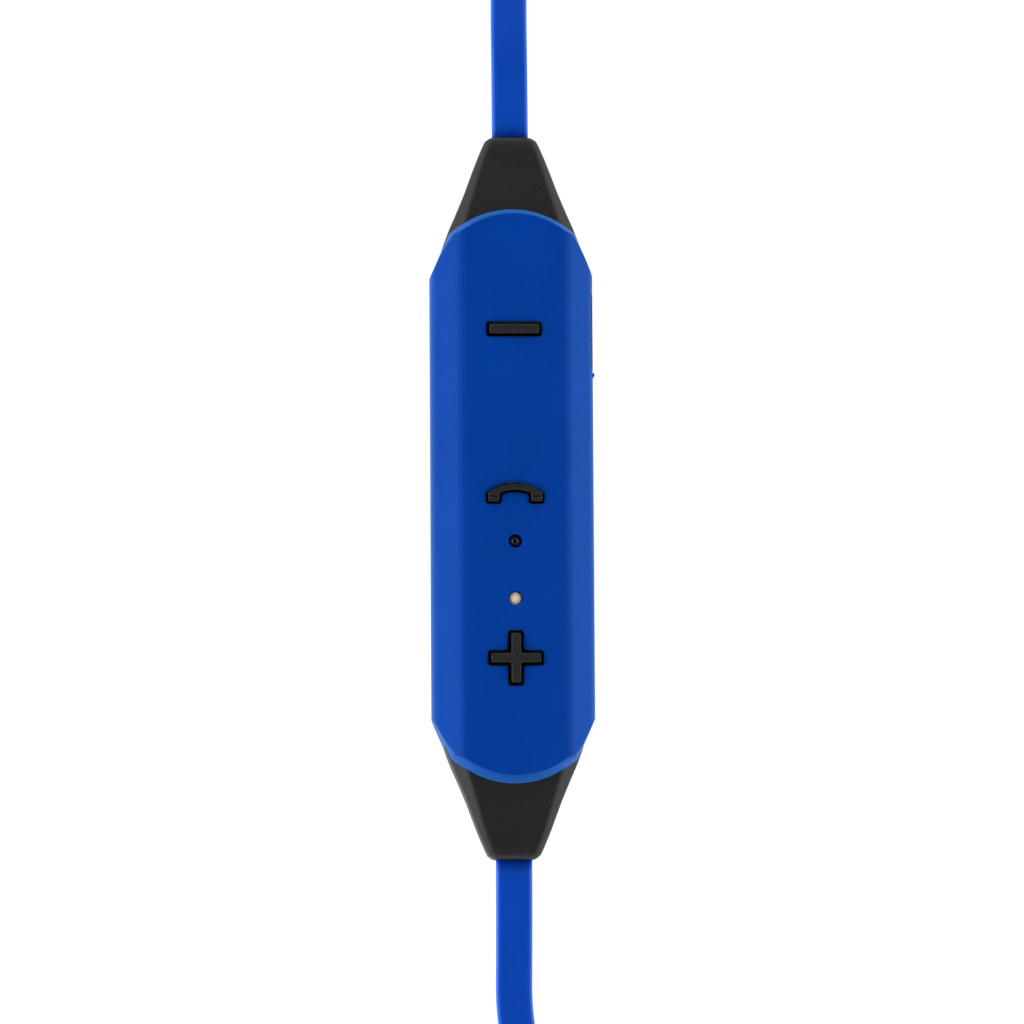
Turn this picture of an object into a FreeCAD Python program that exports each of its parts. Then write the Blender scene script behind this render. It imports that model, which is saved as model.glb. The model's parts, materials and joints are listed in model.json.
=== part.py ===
# Wireless earphones that hang round the neck: an in-line control pod on a flat cord, with one
# earbud at each end of the cord.  The pod lies on its back: +Z is up out of its front face, +Y runs
# along the pod towards the volume-down key, +X towards the charging port.  The origin is the middle
# of the flat back face.  Millimetres.
import FreeCAD, Part
import math
import os

import Sketcher
from FreeCAD import Placement, Rotation, Vector

os.makedirs("parts", exist_ok=True)
doc = FreeCAD.newDocument("Earphones")

# ---------------------------------------------------------------- driving dimensions
SIZES = {
    # casing
    "pod_width": 14.0, "pod_depth": 9.4, "face_width": 9.1, "side_height": 3.0,
    "straight_length": 37.0, "wall": 1.1, "end_centre": 16.9, "end_radius": 7.86, "end_bulge": 7.7,
    "corner_start": 19.0, "corner_slope": 23.7, "face_round": 1.4, "side_round": 2.6,
    "inner_width": 11.8, "inner_face": 8.0, "inner_side": 2.3, "lip_wall": 0.45, "lip_height": 0.6,
    # keys and what is under them
    "key_spacing": 14.1, "key_rise": 0.3, "key_gap": 0.28, "call_gap": 0.21, "hole_round": 0.25,
    "key_round": 0.15, "arm_length": 4.22, "arm_width": 0.78, "call_width": 4.62, "call_height": 1.45,
    "call_thickness": 0.45, "call_opening": 2.75, "flange_thickness": 0.5,
    "switch_width": 3.2, "switch_height": 0.9, "plunger_radius": 0.7,
    # front holes
    "light_offset": 4.1, "mic_offset": 9.0, "pinhole_radius": 0.6,
    # electronics
    "board_bottom": 5.3, "board_thickness": 0.8, "board_width": 10.8, "board_length": 34.0,
    "battery_width": 8.0, "battery_length": 26.0, "battery_thickness": 3.4,
    "battery_middle": -4.0, "pad_thickness": 0.35,
    # charging port on the +X side
    "port_middle": 14.2, "socket_width": 7.5, "socket_height": 2.45, "socket_depth": 5.0,
    "flap_length": 8.2, "flap_height": 2.7, "flap_thickness": 0.55, "flap_gap": 0.1,
    # strain reliefs
    "relief_start": 20.0, "relief_end": 31.1, "relief_half_width": 6.42, "relief_half_height": 3.3,
    "relief_face": 4.4, "relief_side": 1.2, "tip_half_width": 2.25, "tip_half_height": 1.65,
    "tip_face": 1.95, "tip_side": 1.3,
    # flat cord
    "cord_width": 3.13, "cord_thickness": 1.1,
    # earbuds
    "bud_radius": 5.6, "bud_length": 7.4, "cap_length": 4.2, "bud_wall": 0.8,
    "nozzle_radius": 2.4, "nozzle_length": 4.6, "driver_radius": 4.5, "tip_radius": 6.1,
    "tip_length": 5.6, "tip_wall": 0.6, "bud_relief_length": 8.6, "left_bud_x": 2.0, "left_bud_y": 75.4,
    "right_bud_x": 1.6, "right_bud_y": -74.4, "relief_offset": 3.2,
    # put-away cord
    "tie_thickness": 0.35, "hank_middle": 78.5, "hank_run": 32.0, "hank_outer": 11.8,
    "hank_inner": 7.9, "hank_shift": 0.35, "wire_radius": 0.25,
}
sheet = doc.addObject("Spreadsheet::Sheet", "Size")
for row, (word, value) in enumerate(SIZES.items(), 1):
    sheet.set(f"A{row}", word)
    sheet.set(f"B{row}", str(value))
    sheet.setAlias(f"B{row}", word)
doc.recompute()

MIDDLE = "Size.pod_depth/2"
BOARD_TOP = "(Size.board_bottom + Size.board_thickness)"
INNER_TOP = "(Size.pod_depth - Size.wall)"
NODES = {}
X, Y, Z = Vector(1, 0, 0), Vector(0, 1, 0), Vector(0, 0, 1)


def number(expression):
    """The value that a spreadsheet expression has now."""
    found = sheet.evalExpression(str(expression))
    return float(getattr(found, "Value", found))


def sized(piece, expressions):
    """Bind a piece's properties to spreadsheet expressions."""
    for name, expression in expressions.items():
        piece.setExpression(name, str(expression))
    return piece


def placed(piece, at, turn=None):
    """Put a piece at a point given by three expressions, turned first if asked."""
    if turn is not None:
        piece.Placement = Placement(Vector(), turn)
    for axis, expression in zip("xyz", at):
        piece.setExpression(f"Placement.Base.{axis}", str(expression))
    return piece


def block(name, width, length, height, middle_x, middle_y, bottom):
    """A box centred on a point in plan, standing on the height `bottom`."""
    piece = sized(doc.addObject("Part::Box", name), {"Width": length, "Length": width, "Height": height})
    at = (f"({middle_x}) - ({width})/2", f"({middle_y}) - ({length})/2", bottom)
    return placed(piece, at)


def rod(name, radius, height, at, turn=None):
    """A cylinder that starts at a point, upright unless turned."""
    piece = sized(doc.addObject("Part::Cylinder", name), {"Radius": radius, "Height": height})
    return placed(piece, at, turn)


def joined(name, *pieces):
    result = doc.addObject("Part::MultiFuse", name)
    result.Shapes = list(pieces)
    result.Refine = True
    return result


def shared(name, *pieces):
    result = doc.addObject("Part::MultiCommon", name)
    result.Shapes = list(pieces)
    return result


def cut(name, base, *tools):
    result = doc.addObject("Part::Cut", name)
    result.Base = base
    result.Tool = tools[0] if len(tools) == 1 else joined(name + "_tools", *tools)
    return result


def rounded(name, base, radii):
    """Fillet the edges of a base: radii is a list of (test of an edge, radius expression)."""
    doc.recompute()
    result = doc.addObject("Part::Fillet", name)
    result.Base = base
    edges = []
    for place, edge in enumerate(base.Shape.Edges, 1):
        for test, radius in radii:
            if test(edge):
                edges.append((place, number(radius), number(radius)))
                break
    result.Edges = edges
    return result


def node(name, piece):
    """Name a finished sub-part: its label names its file."""
    piece.Label = name
    NODES[name] = piece
    return piece


def close_outline(sketch, corners):
    """Draw a closed outline of straight sides, each corner held by two expressions."""
    points = [Vector(number(a), number(b), 0) for a, b in corners]
    for side, start in enumerate(points):
        sketch.addGeometry(Part.LineSegment(start, points[(side + 1) % len(points)]), False)
    for side, (across, up) in enumerate(corners):
        following = (side + 1) % len(points)
        sketch.addConstraint(Sketcher.Constraint("Coincident", side, 2, following, 1))
        for kind, value, expression in (("DistanceX", points[side].x, across),
                                        ("DistanceY", points[side].y, up)):
            index = sketch.addConstraint(Sketcher.Constraint(kind, -1, 1, side, 1, value))
            sketch.setExpression(f"Constraints[{index}]", str(expression))


def outlined(name, role, corners):
    """A body with one closed sketch of straight sides, its corners given as expression pairs."""
    body = doc.addObject("PartDesign::Body", name)
    sketch = body.newObject("Sketcher::SketchObject", name + "_outline")
    origin = next(f for f in body.Origin.OriginFeatures if f.Role == role)
    sketch.AttachmentSupport = (origin, [""])
    sketch.MapMode = "FlatFace"
    close_outline(sketch, corners)
    return body, sketch


def prism(name, role, corners, length, symmetric=True):
    """A sketched outline padded along its plane's normal."""
    body, sketch = outlined(name, role, corners)
    pad = body.newObject("PartDesign::Pad", name + "_pad")
    pad.Profile = sketch
    pad.SideType = "Symmetric" if symmetric else "One side"
    pad.setExpression("Length", length)
    return body


def turned(name, corners, role="XY_Plane"):
    """A sketched half profile (radius, distance along the axis) turned about the sketch's V axis."""
    body, sketch = outlined(name, role, corners)
    full_turn = body.newObject("PartDesign::Revolution", name + "_turn")
    full_turn.Profile = sketch
    full_turn.ReferenceAxis = (sketch, ["V_Axis"])
    full_turn.Angle = 360
    return body


def octagon(half_width, face_half, top, bottom, side_low, side_high):
    """The corners of the casing's eight-sided section."""
    return [(face_half, top), (f"-({face_half})", top), (f"-({half_width})", side_high),
            (f"-({half_width})", side_low), (f"-({face_half})", bottom), (face_half, bottom),
            (half_width, side_low), (half_width, side_high)]


def soften(body, rounds):
    """Round a padded body's long edges: each alias in rounds is the radius of the edges at that x."""
    for alias, across in rounds.items():
        doc.recompute()
        names = [f"Edge{place}" for place, edge in enumerate(body.Shape.Edges, 1)
                 if edge.Length > 40 and abs(abs(edge.CenterOfMass.x) - number(across)) < 0.01]
        base = body.Tip
        fillet = body.newObject("PartDesign::Fillet", f"{body.Name}_{alias}")
        fillet.Base = (base, names)
        fillet.setExpression("Radius", "Size." + alias)


# ---------------------------------------------------------------- casing
SIDE_TOP = f"({MIDDLE} + Size.side_height/2)"
SIDE_FOOT = f"({MIDDLE} - Size.side_height/2)"
RISE = "(Size.pod_depth/2 - Size.side_height/2)"


def end_wall(outward):
    """The section of an end wall: upright at mid height, bulging inwards to the face and the back."""
    shares = (1, 0.75, 0.5, 0.25, 0)
    steps = [(f"{outward} - (Size.end_bulge - sqrt(Size.end_bulge^2 - ({share}*{RISE})^2))",
              f"{share}*{RISE}") for share in shares]
    upper = [(out, f"{SIDE_TOP} + {up}") for out, up in steps]
    return upper + [(out, f"{SIDE_FOOT} - {up}") for out, up in reversed(steps)]


def casing(name, grow):
    """The closed outer shape of the casing, its ends grown outwards by `grow`."""
    section = octagon("Size.pod_width/2", "Size.face_width/2", "Size.pod_depth", "0", SIDE_FOOT, SIDE_TOP)
    body = prism(name + "_section", "XZ_Plane", section, "52")
    soften(body, {"face_round": "Size.face_width/2", "side_round": "Size.pod_width/2"})
    parts = [block(name + "_middle", "20", "2*Size.end_centre", "Size.pod_depth + 2", "0", "0", "-1")]
    half = [("0", "Size.pod_depth"), *end_wall(f"(Size.end_radius + {grow})"), ("0", "0")]
    for sign in (1, -1):
        end = turned(f"{name}_end", half, "XZ_Plane")
        parts.append(placed(end, ("0", f"{sign}*Size.end_centre", "0")))
    outer = shared(name + "_tapered", body, joined(name + "_plan", *parts))
    beyond = [("9", "Size.pod_depth + 1"), (end_wall(str(grow))[0][0], "Size.pod_depth + 1"),
              *end_wall(str(grow)), (end_wall(str(grow))[0][0], "-1"), ("9", "-1")]
    cutters = []
    for across in (1, -1):
        for along in (1, -1):
            heading = math.degrees(math.atan2(along * math.sin(slope), across * math.cos(slope)))
            at = (f"{across}*Size.pod_width/2", f"{along}*Size.corner_start", "0")
            cutters.append(placed(prism(f"{name}_corner", "XZ_Plane", beyond, "16"), at,
                                  Rotation(Z, heading)))
    return cut(name, outer, *cutters)


slope = math.radians(SIZES["corner_slope"])
solid_case = casing("casing", "0")
grown_case = casing("casing_space", "0.04")


def slot(name, length, height, start, depth, along=None):
    """A flat-ended slot with round ends, cut along +X from x = start, its length along Y."""
    along = along or "Size.port_middle"
    turn = Rotation(Y, 90)
    straight = f"({length}) - ({height})"
    pieces = [block(name + "_middle", depth, straight, height, f"{start} + ({depth})/2", along,
                    f"{MIDDLE} - ({height})/2")]
    for sign in (1, -1):
        at = (start, f"{along} + {sign}*({straight})/2", MIDDLE)
        pieces.append(rod(f"{name}_end", f"({height})/2", depth, at, turn))
    return joined(name, *pieces)


def handset(name, grow, bottom, height):
    """The arched handset outline of the call key, standing on `bottom`."""
    half_width, half_height = f"(Size.call_width/2 + {grow})", f"(Size.call_height/2 + {grow})"
    arch = f"(({half_width}^2 + {half_height}^2)/(2*{half_height}))"
    thick = f"(Size.call_thickness + 2*{grow})"
    centre = f"{half_height} - {arch}"
    outer = rod(name + "_arch", arch, height, ("0", centre, bottom))
    body = block(name + "_body", f"2*{half_width}", f"2*{half_height}", height, "0", "0", bottom)
    inner = rod(name + "_hollow", f"{arch} - {thick}", height, ("0", centre, bottom))
    between = block(name + "_between", f"Size.call_opening - 2*{grow}", "3", height, "0", "0", bottom)
    return cut(name, shared(name + "_outline", outer, body), shared(name + "_underside", inner, between))


def cross(name, length, width, bottom, height, along):
    """The plus sign of the volume-up key."""
    return joined(name, block(name + "_across", length, width, height, "0", along, bottom),
                  block(name + "_along", width, length, height, "0", along, bottom))


INNER_SECTION = octagon("Size.inner_width/2", "Size.inner_face/2", INNER_TOP, "Size.wall",
                        f"{MIDDLE} - Size.inner_side/2", f"{MIDDLE} + Size.inner_side/2")
FACE_CUT = "(Size.wall + 1)"


def upright(edge):
    return edge.Length > 0.5 and abs(edge.BoundBox.ZLength - edge.Length) < 1e-6


def soft_corners(piece, radius):
    """Round the upright edges of a key or of its hole."""
    return rounded(piece.Name + "_soft", piece, [(upright, radius)])


hole_arm = "Size.arm_length + 2*Size.key_gap"
hole_width = "Size.arm_width + 2*Size.key_gap"
recess = ("Size.flap_length + 2*Size.flap_gap", "Size.flap_height + 2*Size.flap_gap")


def shell_tools(name):
    """What both shells leave open: the inside, the cord windows and the charging port."""
    inside = prism(name + "_inside", "XZ_Plane", INNER_SECTION, "Size.straight_length")
    window = block(name + "_window", "4.6", "60", "3.4", "0", "0", f"{MIDDLE} - 1.7")
    floor = "(Size.pod_width/2 - Size.flap_thickness - 0.1)"
    pocket = slot(name + "_pocket", *recess, floor, "2")
    port = block(name + "_port", "1.5", "Size.socket_width + 0.2", "Size.socket_height + 0.2",
                 f"{floor} - 0.74", "Size.port_middle", f"{MIDDLE} - Size.socket_height/2 - 0.1")
    return [inside, window, port, pocket]


def ring_lip(name, grow, bottom, height):
    """The locating lip of the rear shell, or the groove for it."""
    width, length = "Size.inner_width", "Size.straight_length"
    outer = block(name + "_out", f"{width} + 2*(Size.lip_wall + {grow})",
                  f"{length} + 2*(Size.lip_wall + {grow})", height, "0", "0", bottom)
    inner = block(name + "_in", width, length, height, "0", "0", bottom)
    return cut(name, outer, inner)


upper_half = block("upper_half", "20", "60", "10", "0", "0", MIDDLE)
lower_half = block("lower_half", "20", "60", "10", "0", "0", f"{MIDDLE} - 10")
hole_foot = INNER_TOP + " - 0.5"
minus_hole = block("volume_down_hole", hole_arm, hole_width, FACE_CUT, "0", "Size.key_spacing", hole_foot)
call_hole = handset("call_hole", "Size.call_gap", hole_foot, FACE_CUT)
plus_hole = cross("volume_up_hole", hole_arm, hole_width, hole_foot, FACE_CUT, "-Size.key_spacing")
front_holes = [
    *(soft_corners(hole, "Size.hole_round") for hole in (minus_hole, call_hole, plus_hole)),
    rod("light_hole", "Size.pinhole_radius", "3", ("0", "-Size.light_offset", hole_foot)),
    rod("mic_hole", "Size.pinhole_radius", "3", ("0", "-Size.mic_offset", hole_foot)),
]
groove = ring_lip("lip_groove", "0.06", MIDDLE + " - 1", "Size.lip_height + 1.06")
node("front_shell", cut("front_shell", shared("front_outer", solid_case, upper_half),
                        *shell_tools("front"), *front_holes, groove))
posts = [rod("board_post", "0.5", "Size.board_bottom - 1.3", (x, y, "1.3"))
         for x, y in (("-4.8", "12"), ("-4.8", "-12"), ("4.8", "5"), ("4.8", "-12"))]
rear_body = cut("rear_body", joined("rear_raised", shared("rear_outer", solid_case, lower_half),
                                    ring_lip("lip", "0", MIDDLE + " - 0.5", "Size.lip_height + 0.5")),
                *shell_tools("rear"))
node("rear_shell", joined("rear_shell", rear_body, *posts))

# ---------------------------------------------------------------- keys and switches
CAP_TOP = "(Size.pod_depth + Size.key_rise)"
FLANGE_TOP = f"({INNER_TOP} - 0.1)"
FLANGE_BOTTOM = f"({FLANGE_TOP} - Size.flange_thickness)"
PLUNGER_TOP = f"({BOARD_TOP} + Size.switch_height + 0.35)"
cap_height = f"{CAP_TOP} - {FLANGE_TOP}"
minus_cap = block("minus_symbol", "Size.arm_length", "Size.arm_width", cap_height, "0",
                  "Size.key_spacing", FLANGE_TOP)
call_cap = handset("call_symbol", "0", FLANGE_TOP, cap_height)
plus_cap = cross("plus_symbol", "Size.arm_length", "Size.arm_width", FLANGE_TOP, cap_height,
                 "-Size.key_spacing")
minus_cap, call_cap, plus_cap = (soft_corners(cap, "Size.key_round")
                                 for cap in (minus_cap, call_cap, plus_cap))
call_groove = block("call_groove", "6", "0.16", "0.4", "0", "-0.3", CAP_TOP + " - 0.2")
call_cap = cut("call_cap", call_cap, call_groove)
caps = {
    "volume_down": (minus_cap, "Size.key_spacing", "2.6"),
    "call": (call_cap, "0", "3.0"),
    "volume_up": (plus_cap, "-Size.key_spacing", "5.6"),
}
for name, (symbol, along, flange_length) in caps.items():
    flange = block(name + "_flange", "6", flange_length, "Size.flange_thickness", "0", along, FLANGE_BOTTOM)
    nub = rod(name + "_nub", "Size.plunger_radius", f"{FLANGE_BOTTOM} - {PLUNGER_TOP}",
              ("0", along, PLUNGER_TOP))
    node(name + "_key", joined(name + "_key", symbol, flange, nub))
    body = block(name + "_case", "Size.switch_width", "Size.switch_width", "Size.switch_height", "0",
                 along, BOARD_TOP)
    well = rod(name + "_well", "Size.plunger_radius + 0.06", "1", ("0", along, BOARD_TOP + " + 0.25"))
    node(name + "_switch", cut(name + "_switch", body, well))
    node(name + "_plunger", rod(name + "_plunger", "Size.plunger_radius", "0.7",
                                ("0", along, PLUNGER_TOP + " - 0.7")))

# ---------------------------------------------------------------- electronics
board = block("board_blank", "Size.board_width", "Size.board_length", "Size.board_thickness", "0", "0",
              "Size.board_bottom")
SOCKET_START = "Size.pod_width/2 - Size.flap_thickness - 0.15 - Size.socket_depth"
notch = block("board_notch", "6", "Size.socket_width + 0.2", "3", f"{SOCKET_START} + 2.9",
              "Size.port_middle", "4")
node("circuit_board", cut("circuit_board", board, notch))
node("battery", block("battery", "Size.battery_width", "Size.battery_length", "Size.battery_thickness",
                      "0", "Size.battery_middle", "Size.wall + Size.pad_thickness + 0.05"))
node("battery_pad", block("battery_pad", "7.6", "22", "Size.pad_thickness", "0", "Size.battery_middle",
                          "Size.wall + 0.02"))
shield = cut("radio_shield", block("shield_can", "6.4", "5.6", "0.95", "-1.2", "7", BOARD_TOP),
             block("shield_hollow", "6", "5.2", "0.8", "-1.2", "7", BOARD_TOP))
node("radio_shield", shield)
node("radio_chip", block("radio_chip", "4", "4", "0.6", "-1.2", "7", BOARD_TOP))
node("antenna", block("antenna", "1.2", "5.6", "0.85", "3.9", "7", BOARD_TOP))
node("charger_chip", block("charger_chip", "2", "2", "0.7", "-3", "12.5", "Size.board_bottom - 0.7"))
node("indicator_led", block("indicator_led", "1.6", "0.8", "0.6", "0", "-Size.light_offset", BOARD_TOP))
node("light_pipe", joined("light_pipe",
                          rod("pipe_stem", "Size.pinhole_radius - 0.04", "2.3",
                              ("0", "-Size.light_offset", BOARD_TOP + " + 0.85")),
                          rod("pipe_flange", "1", "0.5", ("0", "-Size.light_offset", FLANGE_BOTTOM))))
mic_top = f"({BOARD_TOP} + 0.95)"
node("microphone", block("microphone", "3", "2.4", "0.95", "0", "-Size.mic_offset", BOARD_TOP))
node("microphone_boot", cut("microphone_boot",
                            rod("boot_outer", "1.4", f"{INNER_TOP} - {mic_top} - 0.02",
                                ("0", "-Size.mic_offset", mic_top)),
                            rod("boot_bore", "0.5", "3", ("0", "-Size.mic_offset", mic_top + " - 0.5"))))
node("microphone_mesh", rod("microphone_mesh", "Size.pinhole_radius - 0.02", "0.12",
                            ("0", "-Size.mic_offset", "Size.pod_depth - 0.62")))

# ---------------------------------------------------------------- charging port
socket_bottom = f"{MIDDLE} - Size.socket_height/2"
socket_x = f"{SOCKET_START} + Size.socket_depth/2"
can = block("socket_can", "Size.socket_depth", "Size.socket_width", "Size.socket_height", socket_x,
            "Size.port_middle", socket_bottom)
mouth = block("socket_mouth", "Size.socket_depth", "Size.socket_width - 0.6",
              "Size.socket_height - 0.6", socket_x + " + 0.5", "Size.port_middle", socket_bottom + " + 0.3")
node("usb_socket", cut("usb_socket", can, mouth))
node("usb_tongue", block("usb_tongue", "3.4", "5.6", "0.5", f"{SOCKET_START} + 0.5 + 1.7",
                         "Size.port_middle", f"{MIDDLE} + 0.2"))
flap_inner = "(Size.pod_width/2 - Size.flap_thickness - 0.05)"
flap_outer = "(Size.pod_width/2 - 0.05)"
plate = slot("flap_plate", "Size.flap_length", "Size.flap_height", flap_inner, "Size.flap_thickness")
rib = block("flap_rib", "0.5", "6.2", "0.5", f"{flap_inner} - 0.2", "Size.port_middle", f"{MIDDLE} - 0.6")
lip = rod("nail_lip", "0.2", "1.5", (flap_outer, "Size.port_middle - Size.flap_length/2 + 0.45",
                                     f"{MIDDLE} - 0.75"))
node("port_flap", joined("port_flap", plate, rib, lip))

# ---------------------------------------------------------------- strain reliefs and cord ends
def standing_section(name, corners, along):
    """A closed sketch in an upright plane across the pod, at the distance `along` from its middle."""
    sketch = doc.addObject("Sketcher::SketchObject", name)
    close_outline(sketch, corners)
    return placed(sketch, ("0", along, "0"), Rotation(X, 90))


def relief_section(name, half_width, face_half, half_height, side_half, along):
    corners = octagon(half_width, face_half, f"{MIDDLE} + {half_height}", f"{MIDDLE} - {half_height}",
                      f"{MIDDLE} - {side_half}", f"{MIDDLE} + {side_half}")
    return standing_section(name, corners, along)


for end, sign in (("upper", 1), ("lower", -1)):
    taper = doc.addObject("Part::Loft", end + "_taper")
    taper.Sections = [
        relief_section(end + "_wide", "Size.relief_half_width", "Size.relief_face",
                       "Size.relief_half_height", "Size.relief_side", f"{sign}*Size.relief_start"),
        relief_section(end + "_tip", "Size.tip_half_width", "Size.tip_face", "Size.tip_half_height",
                       "Size.tip_side", f"{sign}*Size.relief_end")]
    taper.Solid = True
    taper.Ruled = True
    outside = cut(end + "_outside", taper, grown_case)
    neck = block(end + "_neck", "4.4", "6.6", "3.2", "0", f"{sign}*21.6", f"{MIDDLE} - 1.6")
    flange = block(end + "_anchor", "4.4", "0.9", "5", "-1.3", f"{sign}*17.95", f"{MIDDLE} - 2.5")
    passage = block(end + "_passage", "Size.cord_width + 0.1", "16", "Size.cord_thickness + 0.1", "0",
                    f"{sign}*25", f"{MIDDLE} - Size.cord_thickness/2 - 0.05")
    relief = cut(end + "_strain_relief", joined(end + "_body", outside, neck, flange), passage)
    node(end + "_strain_relief", relief)
    tail_length = "Size.relief_end - Size.straight_length/2"
    node(end + "_cord_tail", block(end + "_cord_tail", "Size.cord_width", tail_length,
                                   "Size.cord_thickness", "0",
                                   f"{sign}*(Size.relief_end - ({tail_length})/2)",
                                   f"{MIDDLE} - Size.cord_thickness/2"))


# ---------------------------------------------------------------- cords and wires
def cord(name, points, radius):
    """A round tube along straight runs joined by tangent arcs, through hand-chosen points."""
    points = [Vector(*point) for point in points]
    runs = [(b - a).Length for a, b in zip(points, points[1:])]
    edges, start, radii = [], points[0], []
    for place in range(1, len(points) - 1):
        before = (points[place] - points[place - 1]).normalize()
        after = (points[place + 1] - points[place]).normalize()
        turn = before.getAngle(after)
        reach = 0.45 * min(runs[place - 1], runs[place])
        radii.append(reach / math.tan(turn / 2))
        first, last = points[place] - before * reach, points[place] + after * reach
        inward = (after - before).normalize()
        middle = points[place] + inward * (radii[-1] / math.cos(turn / 2) - radii[-1])
        edges += [Part.LineSegment(start, first).toShape(), Part.Arc(first, middle, last).toShape()]
        start = last
    edges.append(Part.LineSegment(start, points[-1]).toShape())
    path = Part.Wire(edges)
    ring = Part.Wire(Part.Circle(points[0], points[1] - points[0], radius).toShape())
    piece = doc.addObject("Part::Feature", name)
    piece.Shape = path.makePipeShell([ring], True, False, 1)
    expected = math.pi * radius ** 2 * path.Length
    print(f"{name}: length {path.Length:.1f}, volume over section times length",
          round(piece.Shape.Volume / expected, 3), "radii", [round(r, 1) for r in radii])
    return piece


def several(name, pieces):
    """Separate solids that share one node."""
    group = doc.addObject("Part::Compound", name)
    group.Links = pieces
    return node(name, group)


CORD_RADIUS = number("Size.cord_width/2")
EXIT_Y, EXIT_Z = number("Size.relief_end"), number(MIDDLE)
LIE_Z = number("Size.cord_width/2 + Size.tie_thickness")
for end, sign in (("upper", 1), ("lower", -1)):
    wires = [rod(f"{end}_wire", "0.16", "1.9", (f"{x}", f"{sign}*Size.straight_length/2", "5.1"),
                 Rotation(X, 90 * sign)) for x in (-1.3, -0.7, -0.1, 0.5)]
    several(end + "_cord_wires", wires)
BATTERY_END = number("Size.battery_middle + Size.battery_length/2")
leads = [cord("battery_lead", [(x, BATTERY_END, 3.2), (x, BATTERY_END + 1.2, 3.2),
                               (x, BATTERY_END + 1.2, number("Size.board_bottom"))],
              number("Size.wire_radius")) for x in (-2.6, -1.6)]
several("battery_leads", leads)

# the long lead runs to the left earbud, and its spare length lies in a tied hank
LEFT_LEAD = [(0, EXIT_Y, EXIT_Z), (0, 37.1, 4.6), (0.2, 45.1, 2.9), (3.4, 52.3, LIE_Z),
             (9.0, 57.8, LIE_Z), (10.9, 64.5, LIE_Z)]
LEFT_END = [(-8.1, 65.6, LIE_Z), (-8.1, 60.1, LIE_Z), (-4.2, 56.2, LIE_Z), (1.3, 56.2, LIE_Z),
            (5.2, 60.1, LIE_Z), (5.2, 66.0, LIE_Z)]
# the short lead runs to the right earbud, once round it
RIGHT_LEAD = [(0, -EXIT_Y, EXIT_Z), (0, -37.1, 4.6), (0.2, -44.8, 2.9), (3.2, -52.2, LIE_Z),
              (8.2, -59.2, LIE_Z), (10.2, -68.5, LIE_Z), (10.5, -80.0, LIE_Z), (10.4, -90.1, LIE_Z),
              (4.5, -96.0, LIE_Z), (-3.7, -96.0, LIE_Z), (-9.6, -90.1, LIE_Z), (-9.8, -79.5, LIE_Z),
              (-9.7, -69.0, LIE_Z), (-9.6, -59.0, LIE_Z), (-5.4, -54.8, LIE_Z),
              (0.6, -54.8, LIE_Z), (4.8, -59.0, LIE_Z), (4.8, -65.0, LIE_Z)]
node("left_lead", cord("left_lead", LEFT_LEAD, CORD_RADIUS))
node("left_lead_end", cord("left_lead_end", LEFT_END, CORD_RADIUS))
node("right_lead", cord("right_lead", RIGHT_LEAD, CORD_RADIUS))


def racetrack(name, radius, bottom, height):
    """A round-ended plate in line with the pod."""
    pieces = [block(name + "_middle", f"2*{radius}", "Size.hank_run", height, "Size.hank_shift",
                    "Size.hank_middle", bottom)]
    for sign in (1, -1):
        at = ("Size.hank_shift", f"Size.hank_middle + {sign}*Size.hank_run/2", bottom)
        pieces.append(rod(name + "_end", radius, height, at))
    return joined(name, *pieces)


node("left_lead_hank", cut("left_lead_hank",
                           racetrack("hank_out", "Size.hank_outer", "Size.tie_thickness", "Size.cord_width"),
                           racetrack("hank_eye", "Size.hank_inner", "0", "5")))
ties = []
strands = "(Size.hank_outer - Size.hank_inner)"
for side in (1, -1):
    middle = f"Size.hank_shift + {side}*(Size.hank_outer + Size.hank_inner)/2"
    outer = block("tie_out", f"{strands} + 2*Size.tie_thickness", "4",
                  "Size.cord_width + 2*Size.tie_thickness", middle, "Size.hank_middle", "0")
    inner = block("tie_in", strands, "6", "Size.cord_width", middle, "Size.hank_middle",
                  "Size.tie_thickness")
    ties.append(cut("hank_tie", outer, inner))
several("hank_ties", ties)

# ---------------------------------------------------------------- earbuds
R, W = "Size.bud_radius", "Size.bud_wall"
NOSE = "Size.bud_length"
NOZZLE_END = "(Size.bud_length + Size.nozzle_length)"
BORE = "(Size.nozzle_radius - 0.7)"
REVOLVED = {
    "bud_housing": [(R, "0"), (R, "3.4"), ("4.6", "6"), ("Size.nozzle_radius", NOSE),
                    ("Size.nozzle_radius", NOZZLE_END), (BORE, NOZZLE_END), (BORE, f"{NOSE} - 0.4"),
                    ("4", "5.4"), (f"{R} - {W}", "3.1"), (f"{R} - {W}", "0")],
    "bud_cap": [(R, "-0.04"), (R, "-1.6"), ("4.7", "-3.5"), ("3", "-Size.cap_length"),
                ("0", "-Size.cap_length"), ("0", f"-Size.cap_length + {W}"),
                ("2.8", f"-Size.cap_length + {W}"), ("4.1", "-2.9"), (f"{R} - {W}", "-1.4"),
                (f"{R} - {W}", "-0.04")],
    "driver_frame": [("Size.driver_radius", "-0.3"), ("Size.driver_radius", "1.2"), ("4", "1.2"),
                     ("4", "0.2"), ("2.7", "0.2"), ("2.7", "-1.9"), ("3.2", "-1.9"), ("3.2", "-0.3")],
    "driver_magnet": [("0", "-1.9"), ("2.6", "-1.9"), ("2.6", "-0.1"), ("0", "-0.1")],
    "diaphragm": [("0", "1.24"), ("1.6", "1.14"), ("3.9", "0.8"), ("3.9", "0.92"), ("1.6", "1.26"),
                  ("0", "1.36")],
    "nozzle_mesh": [("0", f"{NOZZLE_END} - 0.4"), (f"{BORE} - 0.02", f"{NOZZLE_END} - 0.4"),
                    (f"{BORE} - 0.02", f"{NOZZLE_END} - 0.25"), ("0", f"{NOZZLE_END} - 0.25")],
}
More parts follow.
